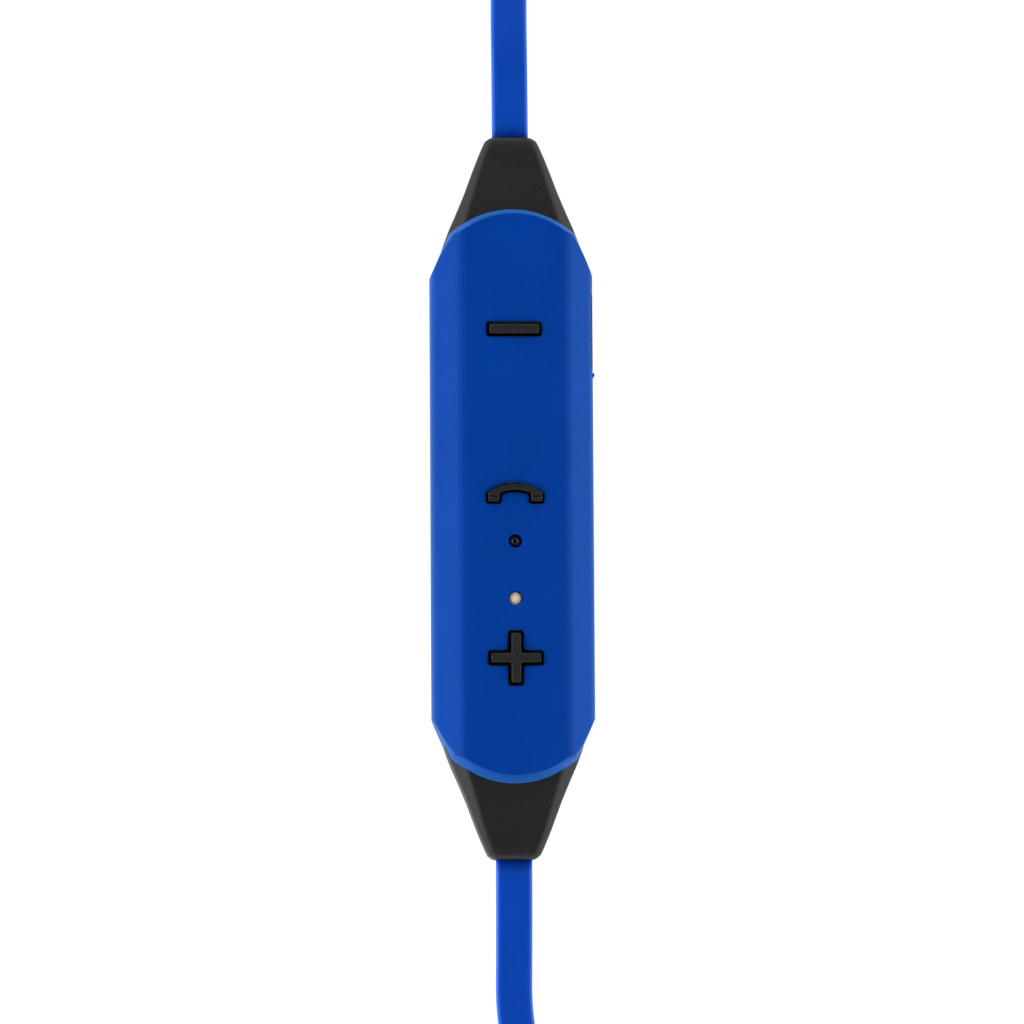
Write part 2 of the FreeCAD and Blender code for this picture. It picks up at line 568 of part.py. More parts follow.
for side, forward, outward in (("left", 1, 1), ("right", -1, -1)):
    base = (f"Size.{side}_bud_x", f"Size.{side}_bud_y", "Size.tip_radius")
    facing = Rotation() if forward == 1 else Rotation(Z, 180)
    for piece, corners in REVOLVED.items():
        node(f"{side}_{piece}", placed(turned(f"{side}_{piece}", corners), base, facing))
    along = f"{base[1]} + {forward}*"
    skirt = f"{along}({NOSE} - 0.2)"
    domes = []
    for layer, shrink, front in (("outer", "0", "Size.tip_length"),
                                 ("inner", "Size.tip_wall", "Size.tip_length - 0.7")):
        radius = f"Size.tip_radius - {shrink}"
        dome = doc.addObject("Part::Ellipsoid", f"{side}_tip_{layer}")
        sized(dome, {"Radius1": radius, "Radius2": radius, "Radius3": front})
        domes.append(placed(dome, (base[0], skirt, base[2])))
    ahead = block(f"{side}_tip_ahead", "14", "7", "14", base[0], f"{skirt} + {forward}*3.5", "-1")
    lengthways = Rotation(X, -90 * forward)
    sleeve_start = f"{along}({NOSE} + 0.3)"
    sleeve = rod(f"{side}_tip_sleeve", "Size.nozzle_radius + 0.75", "4.6",
                 (base[0], sleeve_start, base[2]), lengthways)
    bore = rod(f"{side}_tip_bore", "Size.nozzle_radius + 0.05", "20",
               (base[0], f"{along}2", base[2]), lengthways)
    flare = shared(f"{side}_tip_flare", cut(f"{side}_tip_skin", *domes), ahead)
    node(f"{side}_ear_tip", cut(f"{side}_ear_tip", joined(f"{side}_tip_body", flare, sleeve), bore))
    stem = sized(doc.addObject("Part::Wedge", f"{side}_stem"), {
        "Xmin": "-1.5", "Xmax": "1.5", "Zmin": "-1.7", "Zmax": "1.3", "Ymin": "0.8",
        "Ymax": "0.8 + Size.bud_relief_length", "X2min": "-0.95", "X2max": "0.95",
        "Z2min": "-1.7", "Z2max": "1.7"})
    at = (f"{base[0]} + Size.relief_offset", base[1], str(LIE_Z))
    node(f"{side}_bud_relief", placed(stem, at, Rotation(Z, 180) if forward == 1 else Rotation()))

# ---------------------------------------------------------------- test and write
doc.recompute()
for piece in doc.Objects:
    if any(word in piece.State for word in ("Invalid", "Error")):
        raise SystemExit(f"{piece.Label} failed: {piece.State}")
for name, piece in NODES.items():
    shape = piece.Shape
    if shape.isNull() or not shape.isValid() or not shape.Solids:
        raise SystemExit(f"{name} has no valid solid")
    shape.exportStep(f"parts/{name}.step")
    print(f"{name}: {len(shape.Solids)} solid(s), {shape.Volume:.2f} mm3")
print(len(NODES), "nodes")
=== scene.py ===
# %% [markdown]
# # Wireless earphones on a flat neck cord
# A slim control pod sits on a flat cord that passes behind the neck, with an earbud at each end.
# Each cell below makes one piece or one finish of it. The solid model is the frame, whose parts
# stay where they are and as large as they are. The new pieces are laid out around them.

# %% Load the frame
import json
import math
import bmesh
import bpy
from mathutils import Matrix, Vector


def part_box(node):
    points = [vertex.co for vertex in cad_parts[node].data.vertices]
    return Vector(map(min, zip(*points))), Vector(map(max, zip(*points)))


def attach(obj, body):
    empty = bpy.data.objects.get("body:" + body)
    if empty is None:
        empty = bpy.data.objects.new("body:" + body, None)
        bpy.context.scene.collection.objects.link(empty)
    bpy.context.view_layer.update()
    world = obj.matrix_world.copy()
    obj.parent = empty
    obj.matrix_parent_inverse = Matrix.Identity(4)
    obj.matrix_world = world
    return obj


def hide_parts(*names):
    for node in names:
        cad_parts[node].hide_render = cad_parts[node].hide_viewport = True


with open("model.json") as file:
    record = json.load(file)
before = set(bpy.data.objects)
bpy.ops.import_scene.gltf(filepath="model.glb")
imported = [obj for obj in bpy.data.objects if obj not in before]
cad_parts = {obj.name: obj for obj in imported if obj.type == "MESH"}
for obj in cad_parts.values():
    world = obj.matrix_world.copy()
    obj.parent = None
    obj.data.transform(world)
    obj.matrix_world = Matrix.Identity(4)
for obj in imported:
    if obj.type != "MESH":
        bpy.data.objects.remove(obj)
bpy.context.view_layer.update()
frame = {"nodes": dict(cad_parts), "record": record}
MM = 0.001
ROOT = "pod_and_leads"
nodes = frame["nodes"]
record = frame["record"]
scene = bpy.context.scene

# %% [markdown]
# The camera looks down on the pod through a long lens, so the view is almost a plan. It
# leans a little towards the foot of the pod and towards its plain side, which lifts the front face
# away from the middle plane, and it is turned by a third of a degree.

# %% Camera
POD_LOW, POD_HIGH = (Vector(corner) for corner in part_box("front_shell"))
FACE = POD_HIGH.z
POD_MIDDLE = POD_LOW.z
DISTANCE = 0.6
SEEN_WIDTH = 0.08803
SENSOR_WIDTH = 36
LEAN_SIDE = math.radians(3.4)
LEAN_FOOT = math.radians(5.3)
ROLL = math.radians(-0.34)
TARGET = Vector((0.0, -1.2 * MM, POD_MIDDLE))

camera_data = bpy.data.cameras.new("camera")
camera_data.sensor_width = SENSOR_WIDTH
camera_data.lens = SENSOR_WIDTH * DISTANCE / SEEN_WIDTH
camera_data.clip_start = 0.01
camera = bpy.data.objects.new("camera", camera_data)
scene.collection.objects.link(camera)
away = Vector((-math.tan(LEAN_SIDE), -math.tan(LEAN_FOOT), 1)).normalized()
across = Vector((0, 1, 0)).cross(away).normalized()
facing = Matrix((across, away.cross(across), away)).transposed().to_4x4()
rolled = facing @ Matrix.Rotation(ROLL, 4, "Z")
camera.matrix_world = Matrix.Translation(TARGET + away * DISTANCE) @ rolled
scene.camera = camera
print("lens", round(camera_data.lens, 1), "mm")

# %% [markdown]
# The cord is a flat, soft jacket, 3.13 mm wide and 1.1 mm thick. A curve with a round bevel would
# be a hose, so each cord's route is a NURBS curve, and a rounded flat section is carried along the
# line that the curve makes. The section lies flat where it leaves the pod and turns onto its edge
# on the table, because a flat cord only folds easily round its thin side.

# %% Cord helpers
CORD_WIDTH = 3.13 * MM
CORD_THICKNESS = 1.1 * MM
SECTION_POINTS = 28
LINE_POINTS = 10  # for each control point of a route
JACKET_UV = "jacket"
BLUNT_EDGES, BLUNT_FACES = 0.45, 0.405  # 1 is an ellipse, and less is nearer to a rectangle
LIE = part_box("left_lead_hank")[0][2] + CORD_WIDTH / 2  # the height of a cord that stands on edge


def curve_line(points):
    """The points of the smooth line that a NURBS route makes."""
    data = bpy.data.curves.new("route", "CURVE")
    data.dimensions = "3D"
    spline = data.splines.new("NURBS")
    spline.points.add(len(points) - 1)
    for control, point in zip(spline.points, points):
        control.co = (*point, 1)
    spline.order_u = 3
    spline.use_endpoint_u = True
    spline.resolution_u = LINE_POINTS
    carrier = bpy.data.objects.new("route", data)
    line_mesh = bpy.data.meshes.new_from_object(carrier)
    line = [vertex.co.copy() for vertex in line_mesh.vertices]
    bpy.data.objects.remove(carrier)
    bpy.data.curves.remove(data)
    bpy.data.meshes.remove(line_mesh)
    return line


def distances(line):
    """How far along a line each of its points is."""
    travelled = [0.0]
    for before, after in zip(line, line[1:]):
        travelled.append(travelled[-1] + (after - before).length)
    return travelled


def flat_section(share):
    """One point of the cord's section: a flat oval with blunt, rounded edges."""
    cosine, sine = math.cos(2 * math.pi * share), math.sin(2 * math.pi * share)
    across = math.copysign(abs(cosine) ** BLUNT_EDGES, cosine) * CORD_WIDTH / 2
    through = math.copysign(abs(sine) ** BLUNT_FACES, sine) * CORD_THICKNESS / 2
    return across, through


def eased(value, start, end):
    """0 before start, 1 after end, and smooth between them."""
    share = min(max((value - start) / (end - start), 0), 1)
    return share * share * (3 - 2 * share)


def flat_cord(name, line, turn_at):
    """A flat cord along a line. It turns onto its edge between the two lengths in turn_at."""
    travelled = distances(line)
    bm = bmesh.new()
    uv = bm.loops.layers.uv.new(JACKET_UV)
    rings = []
    for place, point in enumerate(line):
        ahead = line[min(place + 1, len(line) - 1)] - line[max(place - 1, 0)]
        along = ahead.normalized()
        level = Vector((0, 0, 1)).cross(along).normalized()
        upright = along.cross(level)
        edge_on = eased(travelled[place], *turn_at) * math.pi / 2
        wide = level * math.cos(edge_on) + upright * math.sin(edge_on)
        thin = along.cross(wide)
        ring = []
        for step in range(SECTION_POINTS):
            across, through = flat_section(step / SECTION_POINTS)
            ring.append(bm.verts.new(point + wide * across + thin * through))
        rings.append(ring)
    for place, (before, after) in enumerate(zip(rings, rings[1:])):
        for step in range(SECTION_POINTS):
            following = (step + 1) % SECTION_POINTS
            face = bm.faces.new((before[step], before[following], after[following], after[step]))
            corners = ((step, 0), (step + 1, 0), (step + 1, 1), (step, 1))
            for loop, (u, v) in zip(face.loops, corners):
                loop[uv].uv = (u / SECTION_POINTS, travelled[place + v] / CORD_WIDTH)
    for ring in (rings[0], rings[-1]):
        bm.faces.new(ring)
    bmesh.ops.recalc_face_normals(bm, faces=bm.faces)
    return finished(bm, name)


def finished(bm, name, body=ROOT):
    """Turn a bmesh into a piece that rides a body."""
    mesh = bpy.data.meshes.new(name)
    bm.to_mesh(mesh)
    bm.free()
    for polygon in mesh.polygons:
        polygon.use_smooth = True
    piece = bpy.data.objects.new(name, mesh)
    scene.collection.objects.link(piece)
    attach(piece, body)
    print(f"{name}: {len(mesh.polygons)} faces")
    return piece


# %% [markdown]
# The long lead leaves the top of the pod, comes down to the table beyond the strain relief and
# goes three times round a long hank, then back to the left earbud that lies inside the hank. The
# turns are a loop: each one is a strand, a fold, a strand and a fold, 1.4 mm nearer the middle.
# The folds on the pod's side stand back a little, so that the lead can come round in front of them.

# %% Long lead
HANK_LOW, HANK_HIGH = (Vector(corner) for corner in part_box("left_lead_hank"))
FOLD_RADIUS = 11.6 * MM
TURN_PITCH = 1.4 * MM
TURNS = 3
OUTER = (HANK_HIGH.x - HANK_LOW.x) / 2
STAND_BACK = 2.6 * MM
STRAND_INSET = 1 * MM
FIRST_INSET = 3.4 * MM
NEAR_FOLD = HANK_LOW.y + OUTER + STAND_BACK
FAR_FOLD = HANK_HIGH.y - OUTER
POD_EXIT = (0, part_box("upper_strain_relief")[1][1], POD_MIDDLE)
LONG_START = [POD_EXIT, (0, 37.1 * MM, 4.6 * MM), (0, 42.5 * MM, 3.6 * MM),
              (0.2 * MM, 49.6 * MM, 2.2 * MM), (4.9 * MM, 54.2 * MM, LIE),
              (10.6 * MM, 57.0 * MM, LIE), (11.4 * MM, 63.0 * MM, LIE)]
LONG_END = [(-8.1 * MM, 66.6 * MM, LIE), (-8.1 * MM, 62.1 * MM, LIE), (-4.2 * MM, 58.0 * MM, LIE),
            (1.3 * MM, 58.0 * MM, LIE), (5.2 * MM, 61.6 * MM, LIE), (5.2 * MM, 66.0 * MM, LIE)]


def fold(turn, centre_y, first_angle):
    """Four control points round half a turn, just outside the arc that the cord follows."""
    points = []
    for step in range(4):
        angle = first_angle + math.pi / 8 + step * math.pi / 4
        radius = FOLD_RADIUS - TURN_PITCH * (turn + angle / (2 * math.pi))
        radius /= math.cos(math.pi / 8)
        points.append((radius * math.cos(angle), centre_y + radius * math.sin(angle), LIE))
    return points


def strand(turn, angle, start_y, end_y):
    """Two control points on a straight side of the hank."""
    x = (FOLD_RADIUS - TURN_PITCH * (turn + angle / (2 * math.pi))) * math.cos(angle)
    return [(x, start_y, LIE), (x, end_y, LIE)]


hank = []
for turn in range(TURNS):
    start = NEAR_FOLD + (FIRST_INSET if turn == 0 else STRAND_INSET)
    hank += strand(turn, 0, start, FAR_FOLD - STRAND_INSET) + fold(turn, FAR_FOLD, 0)
    if turn < TURNS - 1:
        hank += strand(turn, math.pi, FAR_FOLD - STRAND_INSET, NEAR_FOLD + STRAND_INSET)
        hank += fold(turn, NEAR_FOLD, math.pi)
hank.append((LONG_END[0][0], FAR_FOLD - STRAND_INSET, LIE))
long_line = curve_line(LONG_START + hank + LONG_END)
print("long lead", round(distances(long_line)[-1], 4), "m")
long_lead = flat_cord("long_lead", long_line, (12 * MM, 27 * MM))
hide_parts("left_lead", "left_lead_hank", "left_lead_end")

# %% [markdown]
# The short lead leaves the foot of the pod and goes once round the right earbud. It is one open
# route, so its points are a plain list.

# %% Short lead
FOOT_EXIT = (0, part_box("lower_strain_relief")[0][1], POD_MIDDLE)
SHORT_ROUTE = [
    FOOT_EXIT, (0, -37.1 * MM, 4.6 * MM), (0, -46.4 * MM, 2.7 * MM),
    (3.2 * MM, -53.4 * MM, LIE), (8.2 * MM, -59.2 * MM, LIE), (10.2 * MM, -68.5 * MM, LIE),
    (10.5 * MM, -80.0 * MM, LIE), (10.4 * MM, -90.1 * MM, LIE), (4.5 * MM, -96.0 * MM, LIE),
    (-3.7 * MM, -96.0 * MM, LIE), (-9.6 * MM, -90.1 * MM, LIE), (-9.8 * MM, -79.5 * MM, LIE),
    (-9.7 * MM, -69.0 * MM, LIE), (-9.6 * MM, -59.0 * MM, LIE), (-5.4 * MM, -54.8 * MM, LIE),
    (0.6 * MM, -54.8 * MM, LIE), (4.8 * MM, -59.0 * MM, LIE), (4.8 * MM, -65.0 * MM, LIE)]
short_line = curve_line(SHORT_ROUTE)
print("short lead", round(distances(short_line)[-1], 4), "m")
short_lead = flat_cord("short_lead", short_line, (13 * MM, 36 * MM))
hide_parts("right_lead")

# %% [markdown]
# The pod lies on a white light table, in light that comes from low down all round, under a darker
# zenith. The front face looks at the zenith and stays deep, while the sloping sides look at the
# horizon and at the table and are lighter. A sky gradient does that better than a few lamps, and
# two weak softboxes low at the sides lift the slopes a little more.

# %% Floor and light
def stage_floor():
    """The white table, lit from below, which isn't part of the object."""
    bm = bmesh.new()
    bmesh.ops.create_grid(bm, x_segments=1, y_segments=1, size=1.5)
    mesh = bpy.data.meshes.new("floor")
    bm.to_mesh(mesh)
    bm.free()
    floor = bpy.data.objects.new("floor", mesh)
    scene.collection.objects.link(floor)
    paint = bpy.data.materials.new("white table")
    paint.use_nodes = True
    shader = paint.node_tree.nodes["Principled BSDF"]
    shader.inputs["Base Color"].default_value = (0.22, 0.22, 0.22, 1)
    shader.inputs["Roughness"].default_value = 0.9
    shader.inputs["Specular IOR Level"].default_value = 0.1
    shader.inputs["Emission Color"].default_value = (1, 1, 1, 1)
    shader.inputs["Emission Strength"].default_value = 0.93
    mesh.materials.append(paint)


def studio_sky(horizon, zenith):
    """A white sky, brightest near the horizon."""
    world = bpy.data.worlds.new("studio")
    scene.world = world
    world.use_nodes = True
    tree = world.node_tree
    background = tree.nodes["Background"]
    place = tree.nodes.new("ShaderNodeTexCoord")
    split = tree.nodes.new("ShaderNodeSeparateXYZ")
    ramp = tree.nodes.new("ShaderNodeValToRGB")
    ramp.color_ramp.interpolation = "EASE"
    ramp.color_ramp.elements[0].color = (horizon, horizon, horizon, 1)
    ramp.color_ramp.elements[0].position = 0.25
    ramp.color_ramp.elements[1].color = (zenith, zenith, zenith, 1)
    ramp.color_ramp.elements[1].position = 0.85
    tree.links.new(place.outputs["Generated"], split.inputs[0])
    tree.links.new(split.outputs["Z"], ramp.inputs["Fac"])
    tree.links.new(ramp.outputs["Color"], background.inputs["Color"])
    background.inputs["Strength"].default_value = 1.0


def softbox(name, place, size, energy):
    """A square lamp that looks at the pod."""
    lamp = bpy.data.lights.new(name, "AREA")
    lamp.energy = energy
    lamp.size = size
    holder = bpy.data.objects.new(name, lamp)
    holder.location = place
    holder.rotation_euler = (Vector(place) - TARGET).to_track_quat("Z", "Y").to_euler()
    scene.collection.objects.link(holder)


stage_floor()
studio_sky(horizon=2.0, zenith=0.04)
softbox("port side softbox", (0.6, 0.0, 0.3), size=0.5, energy=1.3)
softbox("plain side softbox", (-0.6, 0.0, 0.3), size=0.5, energy=2.2)
scene.view_settings.view_transform = "Standard"

# %% [markdown]
# Every finish is a node material on the Principled shader. They share three ideas: a fine grain in
# the bump, a slow drift in the colour, and a roughness that isn't the same everywhere. The helper
# lays these out once, on Object coordinates, so that a pattern stays with its piece.

# %% Material helpers
DRIFT_SIZE = 7 * MM


def linear(red, green, blue):
    """A colour from its screen values, 0 to 255, as the shader wants it."""
    def straight(value):
        value /= 255
        return value / 12.92 if value <= 0.04045 else ((value + 0.055) / 1.055) ** 2.4
    return (straight(red), straight(green), straight(blue), 1)


def scaled(colour, factor):
    """A colour made darker or lighter by a factor."""
    return (*(channel * factor for channel in colour[:3]), 1)


def finish(name, colour, roughness, grain=0.02 * MM, grain_size=0.12 * MM, drift=0.06, spread=0.05,
           rounding=0.0, **sockets):
    """A moulded surface: colour drift, roughness drift, a grain bump, and softly rounded edges.

    Drift and spread are how far colour and roughness wander. The other sockets are set by name."""
    made = bpy.data.materials.new(name)
    made.use_nodes = True
    tree = made.node_tree
    shader = tree.nodes["Principled BSDF"]
    for socket, value in sockets.items():
        shader.inputs[socket.replace("_", " ")].default_value = value
    place = tree.nodes.new("ShaderNodeTexCoord")
    slow = tree.nodes.new("ShaderNodeTexNoise")
    slow.inputs["Scale"].default_value = 1 / DRIFT_SIZE
    slow.inputs["Detail"].default_value = 3
    tint = tree.nodes.new("ShaderNodeValToRGB")
    tint.color_ramp.elements[0].position = 0.3
    tint.color_ramp.elements[1].position = 0.7
    tint.color_ramp.elements[0].color = scaled(colour, 1 - drift)
    tint.color_ramp.elements[1].color = scaled(colour, 1 + drift)
    gloss = tree.nodes.new("ShaderNodeMapRange")
    gloss.inputs["To Min"].default_value = roughness - spread
    gloss.inputs["To Max"].default_value = roughness + spread
    fine = tree.nodes.new("ShaderNodeTexNoise")
    fine.inputs["Scale"].default_value = 1 / grain_size
    fine.inputs["Detail"].default_value = 2
    bump = tree.nodes.new("ShaderNodeBump")
    bump.inputs["Strength"].default_value = 1
    bump.inputs["Distance"].default_value = grain
    for noise in (slow, fine):
        tree.links.new(place.outputs["Object"], noise.inputs["Vector"])
    tree.links.new(slow.outputs["Fac"], tint.inputs["Fac"])
    tree.links.new(slow.outputs["Fac"], gloss.inputs["Value"])
    tree.links.new(tint.outputs["Color"], shader.inputs["Base Color"])
    tree.links.new(gloss.outputs["Result"], shader.inputs["Roughness"])
    tree.links.new(fine.outputs["Fac"], bump.inputs["Height"])
    tree.links.new(bump.outputs["Normal"], shader.inputs["Normal"])
    if rounding:
        edge = tree.nodes.new("ShaderNodeBevel")
        edge.samples = 6
        edge.inputs["Radius"].default_value = rounding
        tree.links.new(edge.outputs["Normal"], bump.inputs["Normal"])
    return made


# %% [markdown]
# Every frame part has a material slot, and one finish is made for each slot. The blue casing is a
# satin paint with a little sheen, which lifts the sloping sides. The cord has a finish of its own,
# with a painted highlight: its rounded thin edges are painted a paler blue than its flat faces.

# %% Finishes
BLUE = linear(0, 56, 151)
CORD_BLUE = linear(0, 68, 178)
# The cord's thin edges get a painted highlight in this paler blue. It fades in between the two cosines
# on the next line.
CORD_PAINTED_HIGHLIGHT_BLUE = linear(10, 100, 232)
HIGHLIGHT_STARTS, HIGHLIGHT_FULL = 0.52, 0.92  # the cosine of a section point's angle, 1 at the thin edge
BLACK = linear(27, 26, 28)
FINISHES = {
    "casing_blue": finish("casing blue", BLUE, 0.42, 0.006 * MM, 0.08 * MM, rounding=0.3 * MM,
                          Specular_IOR_Level=0.03, Sheen_Weight=0.4, Sheen_Roughness=0.5,
                          Sheen_Tint=(0.12, 0.54, 1.0, 1.0)),
    "flap_blue": finish("flap blue", scaled(BLUE, 0.92), 0.55, 0.01 * MM, 0.1 * MM,
                        rounding=0.1 * MM, Specular_IOR_Level=0.2),
    "key_black": finish("key black", BLACK, 0.45, 0.006 * MM, 0.07 * MM, rounding=0.12 * MM,
                        Specular_IOR_Level=0.5),
    "soft_black": finish("soft black", BLACK, 0.5, 0.01 * MM, 0.1 * MM, Specular_IOR_Level=0.35),
    "bud_black": finish("bud black", BLACK, 0.35, 0.004 * MM, 0.08 * MM),
    "silicone_black": finish("silicone black", scaled(BLACK, 1.2), 0.42, 0.004 * MM, 0.2 * MM,
                             Subsurface_Weight=0.05, Sheen_Weight=0.3),
    "cord_blue": finish("cord blue", CORD_BLUE, 0.35, 0.005 * MM, 0.09 * MM,
                        Specular_IOR_Level=0.3),
    "tie_black": finish("tie black", BLACK, 0.8, 0.03 * MM, 0.2 * MM, Sheen_Weight=0.5),
    "switch_plastic": finish("switch plastic", BLACK, 0.5),
    "chip_black": finish("chip black", scaled(BLACK, 0.8), 0.5),
    "ceramic_white": finish("ceramic white", linear(235, 232, 222), 0.3),
    "board_green": finish("board green", linear(8, 92, 48), 0.3),
    "foam": finish("foam", BLACK, 0.95, 0.05 * MM, 0.3 * MM),
    "wire_red": finish("wire red", linear(170, 20, 18), 0.45),
    "diaphragm_film": finish("diaphragm film", linear(190, 170, 120), 0.25),
    "clear_pipe": finish("smoked pipe", linear(12, 14, 30), 0.1, 0.001 * MM, spread=0.03,
                         Coat_Weight=1.0, Coat_Roughness=0.04, IOR=1.58),
    "metal_can": finish("metal can", linear(200, 200, 198), 0.32, Metallic=1.0),
    "driver_steel": finish("driver steel", linear(188, 188, 190), 0.3, Metallic=1.0),
    "battery_foil": finish("battery foil", linear(210, 210, 214), 0.35, Metallic=1.0),
    "mesh_steel": finish("mesh steel", linear(120, 120, 122), 0.4, Metallic=1.0),
    "mesh_cream": finish("mesh cream", linear(240, 217, 190), 0.9, 0.04 * MM, 0.1 * MM, drift=0.02),
}


def jacket(colour, highlight_colour):
    """The cord's finish. Its UVs run round the section, which tells thin edges from faces, and the
    thin edges get a painted highlight, a paler blue.
    """
    made = finish("cord jacket painted highlight", colour, 0.36, 0.004 * MM, 0.09 * MM, Specular_IOR_Level=0.3)
    tree = made.node_tree
    shader = tree.nodes["Principled BSDF"]
    around = tree.nodes.new("ShaderNodeUVMap")
    around.uv_map = JACKET_UV
    split = tree.nodes.new("ShaderNodeSeparateXYZ")
    turn = tree.nodes.new("ShaderNodeMath")
    turn.operation = "MULTIPLY"
    turn.inputs[1].default_value = 2 * math.pi
    across = tree.nodes.new("ShaderNodeMath")
    across.operation = "COSINE"
    size = tree.nodes.new("ShaderNodeMath")
    size.operation = "ABSOLUTE"
    edge = tree.nodes.new("ShaderNodeMapRange")
    edge.interpolation_type = "SMOOTHSTEP"
    edge.inputs["From Min"].default_value = HIGHLIGHT_STARTS
    edge.inputs["From Max"].default_value = HIGHLIGHT_FULL
    # The painted highlight: the paler edge colour is mixed over the cord's colour towards the thin
    # edges.
    blend = tree.nodes.new("ShaderNodeMix")
    blend.data_type = "RGBA"
    blend.inputs["B"].default_value = highlight_colour
    tint = shader.inputs["Base Color"].links[0].from_socket
    tree.links.new(around.outputs["UV"], split.inputs[0])
    tree.links.new(split.outputs["X"], turn.inputs[0])
    tree.links.new(turn.outputs["Value"], across.inputs[0])
    tree.links.new(across.outputs["Value"], size.inputs[0])
    tree.links.new(size.outputs["Value"], edge.inputs["Value"])
    tree.links.new(edge.outputs["Result"], blend.inputs["Factor"])
    tree.links.new(tint, blend.inputs["A"])
    tree.links.new(blend.outputs["Result"], shader.inputs["Base Color"])
    return made


for entry in record["subparts"]:
    part = nodes[entry["node"]]
    part.data.materials.clear()
    part.data.materials.append(FINISHES[entry["material_slot"]])
# The leads' finish carries the painted highlight on their thin edges.
cord_jacket_with_highlight = jacket(CORD_BLUE, CORD_PAINTED_HIGHLIGHT_BLUE)
for lead in (long_lead, short_lead):
    lead.data.materials.append(cord_jacket_with_highlight)
print(len(FINISHES), "finishes on", len(nodes), "parts")

# %% [markdown]
# The soft moulded pieces that follow are skins over a row of stations. Each station is a rectangle
# whose corners are bevelled, and bridging the stations makes the skin. The last helper dresses a
# piece: it rides a body, stands for a frame part, and takes the finish of that part's slot.

# %% Loops and skins
def corner_loop(bm, place, half_wide, half_high, corner, segments=1):
    """A closed loop of edges in an upright plane across Y: a rectangle with bevelled corners."""
    before = set(bm.edges)
    sheet = bmesh.ops.create_grid(bm, x_segments=1, y_segments=1, size=1)["verts"]
    bmesh.ops.scale(bm, vec=(half_wide, half_high, 1), verts=sheet)
    bmesh.ops.bevel(bm, geom=sheet, offset=corner, offset_type="OFFSET", affect="VERTICES",
                    segments=segments, profile=0.5, material=-1)
    made = [edge for edge in bm.edges if edge not in before]
    faces = {face for edge in made for face in edge.link_faces}
    bmesh.ops.delete(bm, geom=list(faces), context="FACES_ONLY")
    corners = list({vertex for edge in made for vertex in edge.verts})
    stand = Matrix.Translation(place) @ Matrix.Rotation(math.pi / 2, 4, "X")
    bmesh.ops.transform(bm, matrix=stand, verts=corners)
    return made


def skinned(bm, loops):
    """Bridge a row of loops and close both ends."""
    for near, far in zip(loops, loops[1:]):
        bmesh.ops.bridge_loops(bm, edges=near + far)
    for end in (loops[0], loops[-1]):
        bmesh.ops.contextual_create(bm, geom=end)
    bmesh.ops.recalc_face_normals(bm, faces=bm.faces)


def bevelled(bm, width, segments, angle):
    """Round every edge whose faces meet at more than an angle in degrees."""
    sharp = [edge for edge in bm.edges
             if len(edge.link_faces) == 2 and edge.calc_face_angle() > math.radians(angle)]
    bmesh.ops.bevel(bm, geom=sharp, offset=width, offset_type="OFFSET", affect="EDGES",
                    segments=segments, profile=0.5, material=-1, clamp_overlap=True)


def dressed(bm, name, node, slot, body=ROOT):
    """Finish a bmesh as the piece that stands for a frame part, in that part's slot."""
    piece = finished(bm, name, body)
    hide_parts(node)
    piece.data.materials.append(FINISHES[slot])


# %% [markdown]
# The strain reliefs are soft black boots, moulded over the cord at both ends of the pod. Their
# octagonal section blends into the casing's sloping sides, and their outline is a little hollow
# between the casing and the tip. The last small stations round the tip, and a bevel rounds the
# long edges, so a boot has no hard corner.

# %% Strain reliefs
RELIEF_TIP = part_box("upper_strain_relief")[1][1]
BOOT_ROUNDING = 0.8 * MM
BOOT_STATIONS = [  # distance before the tip, half width, half height, corner cut, all in mm
    (9.6, 5.94, 2.98, 1.3), (8.9, 5.7, 2.86, 1.2), (8.0, 5.36, 2.74, 1.08), (6.96, 4.9, 2.58, 0.95),
    (5.9, 4.45, 2.43, 0.82), (4.9, 4.04, 2.3, 0.72), (3.86, 3.66, 2.15, 0.64), (2.8, 3.27, 2.0, 0.56),
    (1.8, 2.88, 1.87, 0.5), (0.85, 2.48, 1.76, 0.46), (0.35, 2.24, 1.7, 0.44), (0.08, 1.9, 1.52, 0.4),
    (0.0, 1.66, 1.36, 0.36)]
for end, sign in (("upper", 1), ("lower", -1)):
    bm = bmesh.new()
    loops = []
    for back, wide, high, cut in BOOT_STATIONS:
        place = (0, sign * (RELIEF_TIP - back * MM), POD_MIDDLE)
        loops.append(corner_loop(bm, place, wide * MM, high * MM, cut * MM))
    skinned(bm, loops)
    long_edges = [edge for edge in bm.edges if edge.calc_face_angle(0) > math.radians(20)
                  and abs(edge.verts[0].co.y - edge.verts[1].co.y) > 0.05 * MM]
    bmesh.ops.bevel(bm, geom=long_edges, offset=BOOT_ROUNDING, offset_type="OFFSET", affect="EDGES",
                    segments=5, profile=0.5, material=-1, clamp_overlap=True)
    dressed(bm, f"{end}_boot", f"{end}_strain_relief", "soft_black")

# %% [markdown]
# The earbuds are turned shapes, so each shell is a half profile spun round the bud's axis, and a
# bevel rounds its sharp rings. The blue housing holds the driver and ends in a nozzle with a catch
# for the tip, the black cap closes it at the cord side, and a fine groove runs where the two meet.

# %% Turned pieces
SPIN_STEPS = 72


def bud_frame(side):
    """The point on a bud's axis where cap and housing meet, and 1 or -1 for its direction in y."""
    low, high = (Vector(corner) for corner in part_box(f"{side}_bud_housing"))
    forward = 1 if side == "left" else -1
    base_y = low.y if side == "left" else high.y
    base = Vector(((low.x + high.x) / 2, base_y, (low.z + high.z) / 2))
    return base, forward


